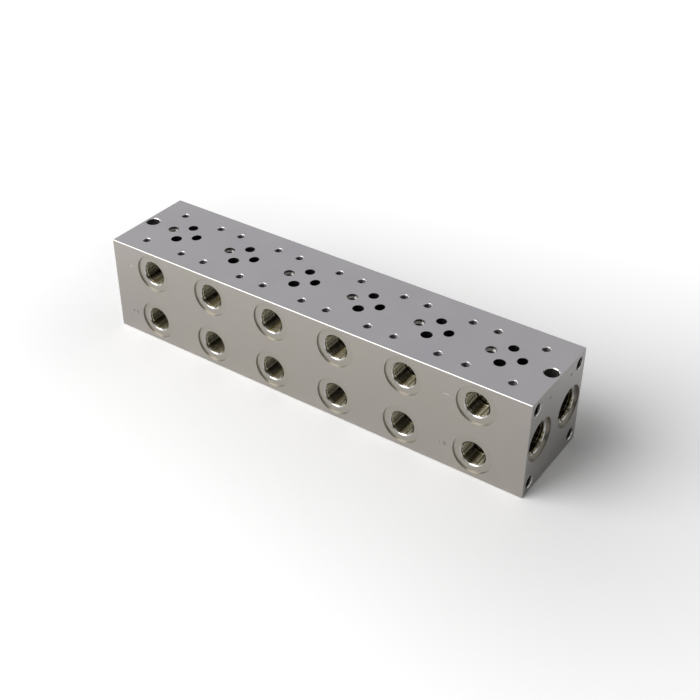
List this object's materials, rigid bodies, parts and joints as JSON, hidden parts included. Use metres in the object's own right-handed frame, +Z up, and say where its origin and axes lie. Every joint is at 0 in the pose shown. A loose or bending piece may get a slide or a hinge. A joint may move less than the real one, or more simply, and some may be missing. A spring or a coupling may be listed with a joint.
{
  "type": "hydraulic manifold block",
  "caption": "Long steel bar manifold with a row of valve seats on top, threaded working ports in its front face and gallery ports in both ends.",
  "frame": {"origin": "centre of the bottom face", "axes": "+X along the bar, -Y out of the face with the working ports, +Z up out of the valve seats"},
  "size_m": [0.32, 0.069, 0.069],
  "materials": {
    "plated_steel": "zinc-nickel plated steel, satin, with fine milling marks; turned spot faces round the ports"
  },
  "bodies": {
    "root": {"manifold_block": "plated_steel"}
  },
  "joints": []
}
